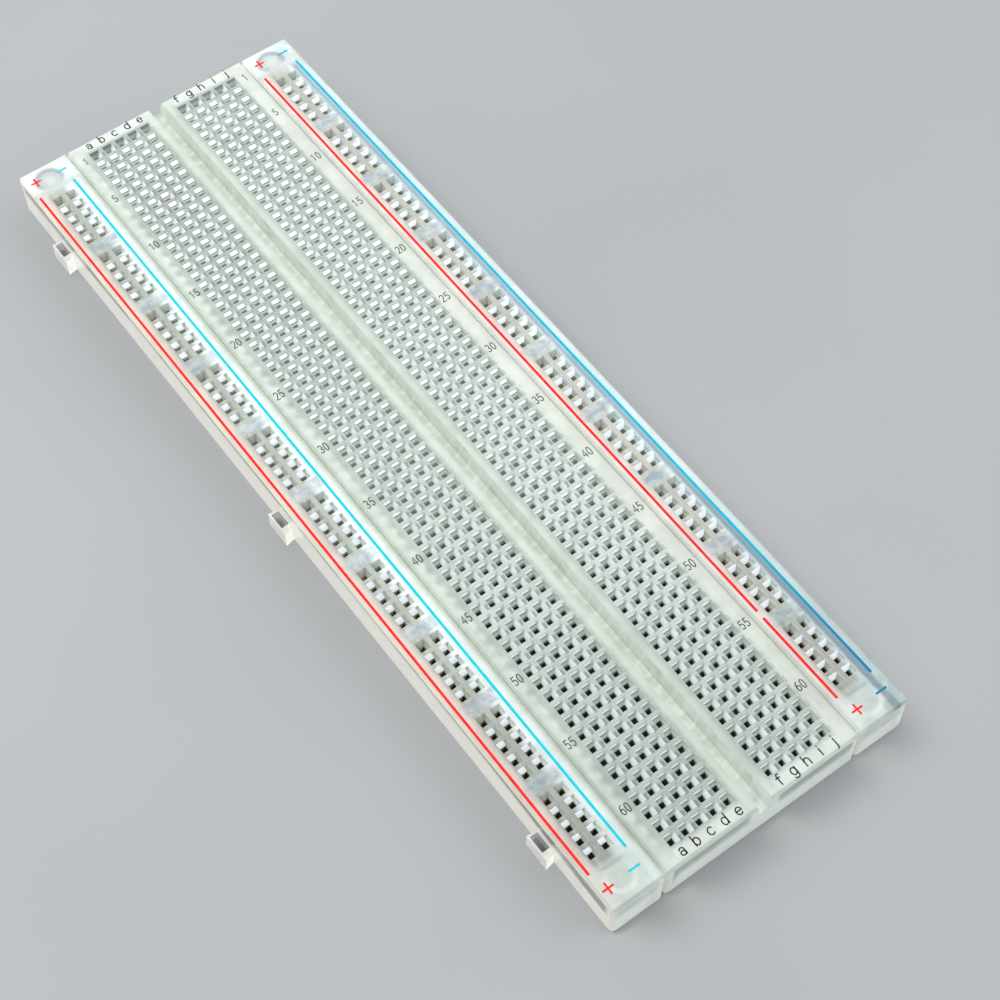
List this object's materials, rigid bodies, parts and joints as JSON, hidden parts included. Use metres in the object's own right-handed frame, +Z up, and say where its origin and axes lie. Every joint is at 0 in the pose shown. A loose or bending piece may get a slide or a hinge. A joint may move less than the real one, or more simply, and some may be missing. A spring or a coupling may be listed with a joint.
{
  "type": "solderless breadboard",
  "caption": "Full-size clear solderless breadboard: a terminal block between two power rails that unhook upwards, with spring contacts under every hole and an adhesive foam back.",
  "frame": {"origin": "middle of the bottom face the board rests on, centred between the outer side walls with the lugs left out", "axes": "+X across the board from column a to column j, +Y along the board towards row 1, +Z up"},
  "size_m": [0.0562, 0.165, 0.0085],
  "materials": {
    "clear_plastic": "clear moulded plastic with a slight milkiness",
    "spring_metal": "rolled spring metal with a nickel plating",
    "foam_tape": "white closed-cell foam tape",
    "release_paper": "waxed paper"
  },
  "bodies": {
    "right_rail": {"right_rail_housing": "clear_plastic", "right_plus_strip": "spring_metal", "right_minus_strip": "spring_metal", "right_rail_foam_pad": "foam_tape", "right_rail_release_liner": "release_paper"},
    "terminal_block": {"terminal_block_housing": "clear_plastic", "contacts_a_e_rows_01_07": "spring_metal", "contacts_a_e_rows_08_14": "spring_metal", "contacts_a_e_rows_15_21": "spring_metal", "contacts_a_e_rows_22_28": "spring_metal", "contacts_a_e_rows_29_35": "spring_metal", "contacts_a_e_rows_36_42": "spring_metal", "contacts_a_e_rows_43_49": "spring_metal", "contacts_a_e_rows_50_56": "spring_metal", "contacts_a_e_rows_57_63": "spring_metal", "contacts_f_j_rows_01_07": "spring_metal", "contacts_f_j_rows_08_14": "spring_metal", "contacts_f_j_rows_15_21": "spring_metal", "contacts_f_j_rows_22_28": "spring_metal", "contacts_f_j_rows_29_35": "spring_metal", "contacts_f_j_rows_36_42": "spring_metal", "contacts_f_j_rows_43_49": "spring_metal", "contacts_f_j_rows_50_56": "spring_metal", "contacts_f_j_rows_57_63": "spring_metal", "block_foam_pad": "foam_tape", "block_release_liner": "release_paper"},
    "left_rail": {"left_rail_housing": "clear_plastic", "left_plus_strip": "spring_metal", "left_minus_strip": "spring_metal", "left_rail_foam_pad": "foam_tape", "left_rail_release_liner": "release_paper"}
  },
  "joints": [
    {"name": "block_lift", "type": "slide", "parent": "right_rail", "child": "terminal_block", "axis": [0, 0, 1], "range_m": [0, 0.012]},
    {"name": "left_rail_lift", "type": "slide", "parent": "terminal_block", "child": "left_rail", "axis": [0, 0, 1], "range_m": [0, 0.012]}
  ]
}
